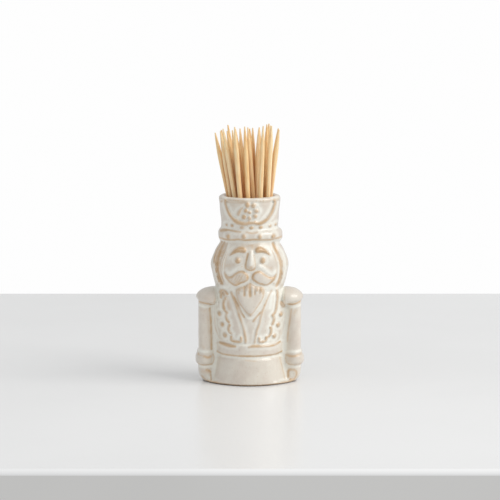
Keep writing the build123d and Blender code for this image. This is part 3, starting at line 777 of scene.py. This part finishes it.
def oval(x, y, half_width, half_depth):
    """Distance to an elliptic cylinder."""
    share = np.hypot(x / half_width, y / half_depth)
    slope = np.hypot(x / half_width**2, y / half_depth**2)
    return round_form(share, slope, np.minimum(half_width, half_depth))


def cushion(x, y, z, half_width, half_depth, half_height):
    """Distance to an ellipsoid."""
    share = np.sqrt((x / half_width) ** 2 + (y / half_depth) ** 2 + (z / half_height) ** 2)
    slope = np.sqrt((x / half_width**2) ** 2 + (y / half_depth**2) ** 2 + (z / half_height**2) ** 2)
    return round_form(share, slope, min(half_width, half_depth, half_height))


def boxy(x, y, half_width, half_depth):
    """Distance to a column between an ellipse and a box."""
    square_share = ((x / half_width) ** 4 + (y / half_depth) ** 4) ** 0.25
    round_share = np.hypot(x / half_width, y / half_depth)
    share = 0.5 * square_share + 0.5 * round_share
    return (share - 1) * np.minimum(half_width, half_depth)


def corner(first, second, radius):
    """What is inside both, with a rounded edge between them."""
    a, b = first + radius, second + radius
    return np.hypot(np.maximum(a, 0), np.maximum(b, 0)) + np.minimum(np.maximum(a, b), 0) - radius


def joined(first, second, fillet):
    """What is inside either, with a soft fillet between them."""
    share = np.clip(0.5 + 0.5 * (second - first) / fillet, 0, 1)
    return second * (1 - share) + first * share - fillet * share * (1 - share)


def drum(x, y, z, half_width, half_depth, middle, half_height, edge):
    """Distance to an upright oval drum with rounded edges."""
    return corner(oval(x, y, half_width, half_depth), np.abs(z - middle) - half_height, edge)


def smooth_step(value, low, high):
    share = np.clip((value - low) / (high - low), 0, 1)
    return share * share * (3 - 2 * share)


def hat_and_band(x, y, z):
    """The hat, and the band round its foot that comes up a little in front."""
    wall = np.hypot(x, y) - np.interp(z, hat_heights, hat_radii)
    hat = np.maximum(corner(wall, z - holder_height, hat_edge), hat_foot - z)
    low = band_foot + band_front_lift * smooth_step(-y, 2, 11)
    height = np.abs(z - (band_top + low) / 2) - (band_top - low) / 2
    band = corner(np.hypot(x - band_shift, y) - band_radius, height, band_edge)
    return joined(hat, band, fillet=1.1)


def arms(x, y, z):
    """Both arms, with their fists, cuffs and epaulettes."""
    out = np.abs(x)
    arm = np.maximum(boxy(out - arm_out, y, arm_width, arm_depth), np.abs(z - arm_middle) - arm_half_height)
    width, depth = hand_outline(z)
    hand = np.maximum(boxy(out - hand_out - width, y, width, depth), z - hand_top)
    arm = joined(arm, hand, fillet=0.6)
    arm = joined(arm, drum(out - ring_out, y, z, *ring_drum), fillet=0.5)
    arm = joined(arm, drum(out - cuff_out, y, z, *cuff_drum), fillet=0.5)
    epaulette = cushion(out - epaulette_out, y, z - epaulette_middle, *epaulette_size)
    epaulette = corner(epaulette, epaulette_foot + epaulette_slope * (out - 15) - z, epaulette_foot_edge)
    epaulette = corner(epaulette, epaulette_inner - out, epaulette_inner_edge)
    return joined(arm, epaulette, fillet=0.5)


def outer_shape(x, y, z):
    """The figure without its relief and hollows."""
    shape = hat_and_band(x, y, z)
    shape = joined(shape, drum(x, y, z, *head_outline(z), *head_levels), fillet=1.2)
    coat = np.maximum(oval(x, y, *coat_outline(z)), np.abs(z - coat_middle) - coat_half_height)
    shape = joined(shape, coat, fillet=1.2)
    shape = joined(shape, drum(x, y, z, *belt_drum), fillet=0.4)
    skirt_width, skirt_depth = (np.interp(z, skirt_heights, sizes) for sizes in (skirt_widths, skirt_depths))
    skirt = corner(oval(x, y, skirt_width, skirt_depth), z - skirt_top, skirt_edge)
    shape = joined(shape, skirt, fillet=0.5)
    base = corner(oval(x, y, base_width, base_depth), z - base_top, base_edge)
    shape = joined(shape, base, fillet=1.2)
    web = np.maximum(np.maximum(np.abs(x) - web_out, np.abs(y) - web_depth), z - web_top)
    shape = joined(shape, web, fillet=1.4)
    return joined(shape, arms(x, y, z), fillet=1.3)


def side_locks(x, y, z):
    """Share of the grooves between the locks of hair at the sides of the head."""
    turned = np.degrees(np.arctan2(np.abs(x), -y))
    share = 0
    for middle in lock_turns:
        away = (turned - middle - 4 * np.sin(0.32 * (z - 40))) * math.pi / 180 * hair_radius
        share = np.maximum(share, bell(away, lock_width))
    return share * smooth_step(z, 41, 44) * smooth_step(-z, -57.6, -55.6)


def figure(x, y, z):
    """The whole ceramic, with relief, well and hollow underside."""
    shape = outer_shape(x, y, z)
    shape = shape - sample(front_relief, x, z) * smooth_step(-y, *relief_fade)
    shape = shape - sample(back_relief, x, z) * smooth_step(y, *relief_fade)
    shape = shape + lock_depth * side_locks(x, y, z)
    # Slow waves that keep the cast from looking machined
    wobble = np.sin(0.61 * x + 0.3) * np.sin(0.52 * z + 1.1) + np.sin(0.83 * z + 0.37 * x + 2)
    shape = shape + wobble_height * wobble + ripple_height * np.sin(1.7 * x - 0.9 * z + 0.6 * y)
    shape = corner(shape, -z, foot_edge)
    rho = np.hypot(x, y)
    dish = np.hypot(rho, np.minimum(z - well_floor_z - well_dish_radius, 0)) - well_dish_radius
    well = corner(rho - well_radius, dish, well_floor_edge)
    shape = corner(shape, -well, well_rim_edge)
    hollow_radius = np.interp(z, (0, hollow_height), (hollow_foot_radius, hollow_top_radius))
    hollow = corner(rho - hollow_radius, z - hollow_height, hollow_edge)
    return corner(shape, -hollow, hollow_rim_edge)


# ---- field to mesh
# The cells of the grid in mm, coarser from front to back, and its reach round the figure
cell = 0.405
cell_y = 0.52
reach_x, reach_y, reach_z = (-22.8, 22.81), (-15.8, 15.41), (-0.9, 77)
settling_rounds = 3
slope_step = 0.04


def quad_skin(field, xs, ys, zs):
    """Corner points and four-sided faces of the surface where a field is zero."""
    values = field(xs[:, None, None], ys[None, :, None], zs[None, None, :])
    solid = values < 0
    count = np.zeros([n - 1 for n in solid.shape], np.int8)
    shifts = [(a, b, c) for a in (0, 1) for b in (0, 1) for c in (0, 1)]
    for a, b, c in shifts:
        count += solid[a: a + count.shape[0], b: b + count.shape[1], c: c + count.shape[2]]
    cells = np.nonzero((count > 0) & (count < 8))
    number = np.full(count.shape, -1)
    number[cells] = np.arange(len(cells[0]))
    lines = (xs, ys, zs)
    total, hits = np.zeros((len(cells[0]), 3)), np.zeros(len(cells[0]))
    for first in shifts:
        for axis in range(3):
            if first[axis]:
                continue
            second = tuple(1 if n == axis else first[n] for n in range(3))
            low = tuple(cells[n] + first[n] for n in range(3))
            high = tuple(cells[n] + second[n] for n in range(3))
            start, end = values[low], values[high]
            cross = (start < 0) != (end < 0)
            share = np.where(cross, start / np.where(cross, start - end, 1), 0)
            for n in range(3):
                place = lines[n][low[n]] * (1 - share) + lines[n][high[n]] * share
                total[:, n] += np.where(cross, place, 0)
            hits += cross
    faces = []
    for axis in range(3):
        inside = np.moveaxis(solid, axis, 0)
        cross = inside[:-1] != inside[1:]
        cross[:, (0, -1), :] = False
        cross[:, :, (0, -1)] = False
        i, j, k = np.nonzero(cross)
        table = np.moveaxis(number, axis, 0)
        quads = np.stack([table[i, j - 1, k - 1], table[i, j, k - 1], table[i, j, k], table[i, j - 1, k]], 1)
        # Faces look out of the solid: those that would look into it are turned round
        backward = inside[i, j, k] == (axis == 1)
        quads[backward] = quads[backward][:, ::-1]
        faces.append(quads)
    return total / hits[:, None], np.concatenate(faces)


def slope_at(field, points):
    """Value and gradient of a field at points."""
    value = field(*points.T)
    slope = np.zeros_like(points)
    for axis in range(3):
        shifted = points.copy()
        shifted[:, axis] += slope_step
        slope[:, axis] = (field(*shifted.T) - value) / slope_step
    return value, slope


def shared_edges(faces):
    """The sides of four-sided faces, each as two point numbers."""
    return np.concatenate([faces[:, (n, (n + 1) % 4)] for n in range(4)])


def evened(values, edges, rounds):
    """Values spread over their neighbours on the mesh."""
    count = len(values)
    valence = np.bincount(edges.ravel(), minlength=count)
    for _ in range(rounds):
        total = np.bincount(edges[:, 0], values[edges[:, 1]], count)
        total += np.bincount(edges[:, 1], values[edges[:, 0]], count)
        values = 0.5 * values + 0.5 * total / valence
    return values


def smooth_mesh(name, points, faces):
    """Smoothly shaded mesh from points and faces."""
    mesh = bpy.data.meshes.new(name)
    mesh.from_pydata(points.tolist(), [], faces)
    mesh.polygons.foreach_set("use_smooth", np.ones(len(faces), bool))
    mesh.validate()
    return mesh


def store(mesh, name, values):
    """Keep a number, or a vector, for each point of a mesh."""
    kind, field = ("FLOAT", "value") if values.ndim == 1 else ("FLOAT_VECTOR", "vector")
    attribute = mesh.attributes.new(name, kind, "POINT")
    attribute.data.foreach_set(field, values.astype(np.float32).ravel())


def curving(points, normal, edges):
    """How much the surface curves at each point: above zero on edges, below it in hollows."""
    start, end = edges.T
    run = points[end] - points[start]
    turn = ((normal[end] - normal[start]) * run).sum(1) / np.maximum((run**2).sum(1), 0.01)
    count = len(points)
    total = np.bincount(start, turn, count) + np.bincount(end, turn, count)
    return total / np.bincount(edges.ravel(), minlength=count)


def glaze_at(points, normal, edges):
    """Shares of tan (thin glaze, painted shade), of white (pooled glaze, painted highlights) and of painted
    contact shadow at each point of the holder.
    """
    x, y, z = points.T
    facing_front, facing_back = smooth_step(-y, *glaze_fade), smooth_step(y, *glaze_fade)
    thin = sample(front.thin, x, z) * facing_front + sample(back.thin, x, z) * facing_back
    pool = sample(front.pool, x, z) * facing_front + sample(back.pool, x, z) * facing_back
    thin = np.maximum(thin, 0.75 * side_locks(x, y, z))
    curve = curving(points, normal, edges)
    edge_thin = 0.75 * smooth_step(evened(curve, edges, 2), 0.30, 0.85)
    edge_pool = 0.9 * smooth_step(-evened(curve, edges, 10), 0.02, 0.30)
    outside = smooth_step(np.hypot(x, y), *mouth_fade)
    thin = outside * np.maximum(thin, edge_thin)
    pool = np.maximum(pool, edge_pool) * (1 - 0.8 * thin)
    return thin, pool, smooth_step(-z, *contact_shade_fade)


def make_holder():
    """The ceramic figure, with the thickness of its glaze, its painted shade and highlights, and its painted
    contact shadow stored on it.
    """
    grid = (np.arange(*reach_x, cell), np.arange(*reach_y, cell_y), np.arange(*reach_z, cell))
    points, faces = quad_skin(figure, *grid)
    for _ in range(settling_rounds):
        value, slope = slope_at(figure, points)
        size = np.maximum((slope**2).sum(1), 0.2)
        points -= np.clip(value / size, -0.3, 0.3)[:, None] * slope
    points[:, 2] = np.maximum(points[:, 2], 0)
    slope = slope_at(figure, points)[1]
    normal = slope / np.linalg.norm(slope, axis=1)[:, None]

    mesh = smooth_mesh("nutcracker_holder", points * MM, faces.tolist())
    shares = glaze_at(points, normal, shared_edges(faces))
    for name, values in zip(("glaze_thin", "glaze_pool_and_highlight", "foot_contact_shade"), shares):
        store(mesh, name, values)
    return link(bpy.data.objects.new("nutcracker_holder", mesh))


even_cream, cloudy_cream = srgb(217, 207, 195), srgb(224, 217, 205)
# The white of pooled glaze also colours the painted highlights
streak_cream, pool_and_highlight_white = srgb(214, 203, 192), srgb(241, 240, 231)
# Tan of thin glaze, also used for painted shade, and the brown where it is deepest
thin_tan, thinnest_brown = srgb(207, 177, 141), srgb(186, 152, 113)
# The dark brown is painted contact shadow along the foot; the specks are the glaze's own
contact_shade_brown, speck_tan = srgb(112, 86, 62), srgb(190, 165, 135)


def glaze_material():
    """Glossy cream glaze that breaks to tan on edges and pools white in hollows, with painted shade in the tan,
    painted highlights in the white and painted contact shadow at the foot.
    """
    nodes = Nodes(bpy.data.materials.new("reactive_glaze"))
    at = nodes.coordinates()
    cloud = nodes.noise(at, 130, 4, 0.55)
    fine = nodes.noise(at, 900, 4, 0.6)
    streak = nodes.streaks(at, (520, 520, 110), 3, 0.6)
    flat = nodes.mixed(nodes.ramp(cloud, 0.36, 0.64), even_cream, cloudy_cream)
    flat = nodes.mixed(nodes.ramp(streak, 0.5, 0.75, 0, 0.45), flat, streak_cream)
    # Pooled glaze and painted highlights, both white
    pool = nodes.attribute("glaze_pool_and_highlight")
    pool = nodes.maths("ADD", pool, nodes.ramp(fine, 0.3, 0.7, -0.12, 0.12), clamp=True)
    colour = nodes.mixed(pool, flat, pool_and_highlight_white)
    # Thin glaze and painted shade, both tan
    thin = nodes.attribute("glaze_thin")
    patchy = nodes.ramp(nodes.noise(at, 300, 3), 0.34, 0.66, 0.78, 1.18)
    thin = nodes.maths("MULTIPLY", thin, patchy)
    thin = nodes.maths("ADD", thin, nodes.ramp(fine, 0.35, 0.75, -0.05, 0.07), clamp=True)
    colour = nodes.mixed(nodes.ramp(thin, 0.04, 0.85), colour, thin_tan)
    colour = nodes.mixed(nodes.ramp(thin, 0.78, 1.1, 0, 0.7), colour, thinnest_brown)
    # Painted contact shadow along the foot, where it meets the floor
    colour = nodes.mixed(nodes.attribute("foot_contact_shade"), colour, contact_shade_brown)
    spots = nodes.add("TexVoronoi", {"Vector": at, "Scale": 620}).outputs["Distance"]
    speck = nodes.ramp(spots, 0.10, 0.17, 0.25, 0)
    skin = nodes.bump(nodes.noise(at, 330, 2), 0.00006, 0.6)
    return nodes.surface({
        "Base Color": nodes.mixed(speck, colour, speck_tan),
        "Roughness": nodes.ramp(cloud, 0.3, 0.7, 0.3, 0.42),
        "IOR": 1.5,
        "Coat Weight": 0.5,
        "Coat Roughness": 0.1,
        "Normal": nodes.bump(fine, 0.00002, 0.5, Normal=skin),
    })


holder = make_holder()
holder.data.materials.append(glaze_material())
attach(holder, "holder")
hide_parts("holder")


# ---- toothpicks
rings_along = 66
points_round = 20
pick_radius = 1.02
pick_taper = 12
pick_point_share = 0.24     # width of the blunt point, as a share of the full width
pick_seed = 7
light_wood = (srgb(255, 240, 203), srgb(252, 224, 174))     # of the palest and the darkest pick
dark_wood = (srgb(248, 214, 160), srgb(238, 190, 128))
# The last of these browns is painted shade, laid on the picks where they crowd each other and down in the holder's
# mouth
band_wood, fibre_wood, pick_shade_brown = srgb(230, 176, 114), srgb(180, 118, 64), srgb(204, 124, 58)


def wood_material():
    """Pale birch with fibres along the pick, and painted shade where the picks crowd together."""
    nodes = Nodes(bpy.data.materials.new("birch"))
    grain = nodes.attribute("grain", "Vector")
    tone = nodes.attribute("tone")
    painted_pick_shade = nodes.attribute("painted_pick_shade")
    fibre = nodes.streaks(grain, (5, 5, 0.16), 4, 0.6)
    broad = nodes.streaks(grain, (1.4, 1.4, 0.05), 2, 0.5)
    streak = nodes.streaks(grain, (9, 9, 0.35), 2, 0.7)
    light, dark = nodes.mixed(tone, *light_wood), nodes.mixed(tone, *dark_wood)
    colour = nodes.mixed(nodes.ramp(fibre, 0.38, 0.66), light, dark)
    colour = nodes.mixed(nodes.ramp(broad, 0.46, 0.74, 0, 0.5), colour, band_wood)
    # Painted shade where other picks and the holder's mouth hem the pick in
    colour = nodes.mixed(nodes.ramp(painted_pick_shade, 0.1, 0.85, 0, 0.9), colour, pick_shade_brown)
    return nodes.surface({
        "Base Color": nodes.mixed(nodes.ramp(streak, 0.64, 0.76, 0, 0.55), colour, fibre_wood),
        "Roughness": nodes.ramp(fibre, 0.3, 0.7, 0.5, 0.68),
        "Specular IOR Level": 0.3,
        "Normal": nodes.bump(fibre, 0.00006, 0.6),
    })


def pick_ends(node, axis):
    """Middle of the lower and the upper point of a pick of the frame."""
    corners = np.array([v.co for v in frame["nodes"][node].data.vertices], float)
    height = corners @ axis
    low = corners[height < height.min() + 0.02 * MM].mean(0)
    high = corners[height > height.max() - 0.02 * MM].mean(0)
    return low, high


def pick_shade_share(points, name):
    """Share of painted shade at each point: where the other picks hem it in, and down in the mouth of the holder.
    """
    share = 0.2 * smooth_step(-points[:, 2] / MM, -94, -80)
    for other, (low, high) in pick_lines.items():
        if other != name:
            line = high - low
            along = np.clip((points - low) @ line / (line @ line), 0, 1)
            near = np.linalg.norm(points - low - along[:, None] * line, axis=1) / MM
            width = pick_radius * np.clip(np.minimum(along, 1 - along) * 5, 0.3, 1)
            share += np.clip(1 - (near - width) / 2.4, 0, 1) ** 1.4
    return np.clip(0.6 * share, 0, 1)


def pick_faces():
    """Four-sided faces between the rings of a pick, and triangles to its two points."""
    rings = np.arange(rings_along * points_round).reshape(rings_along, points_round)
    after = np.roll(rings, -1, axis=1)
    faces = np.stack([rings[:-1], after[:-1], after[1:], rings[1:]], 2).reshape(-1, 4).tolist()
    foot, tip = rings.size, rings.size + 1
    for a, b, c, d in zip(rings[0], after[0], rings[-1], after[-1]):
        faces += [(foot, int(b), int(a)), (tip, int(c), int(d))]
    return faces


def make_pick(name, node, random):
    """One turned toothpick, slightly uneven, with its grain stored on it."""
    axis, (low, high) = pick_axes[node], pick_lines[node]
    length = np.linalg.norm(high - low) / MM
    along = np.linspace(0, 1, rings_along)
    # Rings crowd towards the points
    along = length * (along - 0.11 * np.sin(2 * np.pi * along))
    share = np.clip(np.minimum(along, length - along) / pick_taper, 0, 1)
    radius = pick_radius * (pick_point_share + (1 - pick_point_share) * np.sin(share * np.pi / 2) ** 1.02)
    radius = np.minimum(radius, pick_radius)
    angle = np.arange(points_round) * 2 * np.pi / points_round
    waves = random.uniform(0, 2 * np.pi, 6)     # the last three are spare
    uneven = 0
    for wave, depth, lobes, twist in zip(waves, (0.022, 0.018, 0.012), (2, 3, 5), (0.05, -0.08, 0.21)):
        uneven = uneven + depth * np.sin(lobes * angle + wave + twist * along[:, None])
    girth = radius[:, None] * (0.965 + uneven)
    side = np.cross(axis, (0, 1, 0))
    side /= np.linalg.norm(side)
    ahead = np.cross(axis, side)
    centre = low + along[:, None] * MM * axis
    ring = np.outer(np.cos(angle), side) + np.outer(np.sin(angle), ahead)
    points = centre[:, None, :] + girth[:, :, None] * MM * ring
    stations = np.repeat(along[:, None], points_round, 1)
    grain = np.stack([girth * np.cos(angle), girth * np.sin(angle), stations], 2)
    grain += random.uniform(-200, 200, 3)
    points = np.concatenate([points.reshape(-1, 3), [low, high]])
    grain = np.concatenate([grain.reshape(-1, 3), grain[0].mean(0)[None], grain[-1].mean(0)[None]])
    mesh = smooth_mesh(name, points, pick_faces())
    store(mesh, "grain", grain)
    # Painted shade between the picks, kept on each point
    store(mesh, "painted_pick_shade", pick_shade_share(points, node))
    store(mesh, "tone", np.full(len(points), random.uniform(0, 1)))
    return link(bpy.data.objects.new(name, mesh))


wood = wood_material()
random = np.random.default_rng(pick_seed)
bodies = frame["record"]["behaviour"]["bodies"]
pick_axes, pick_lines = {}, {}
for joint in frame["joints"]:
    node = bodies[joint["child"]][0]
    pick_axes[node] = np.array(joint["axis"], float) / np.linalg.norm(joint["axis"])
    pick_lines[node] = pick_ends(node, pick_axes[node])
for joint in frame["joints"]:
    body = joint["child"]
    node = bodies[body][0]
    pick = make_pick("birch_" + node, node, random)
    pick.data.materials.append(wood)
    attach(pick, body)
    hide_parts(node)
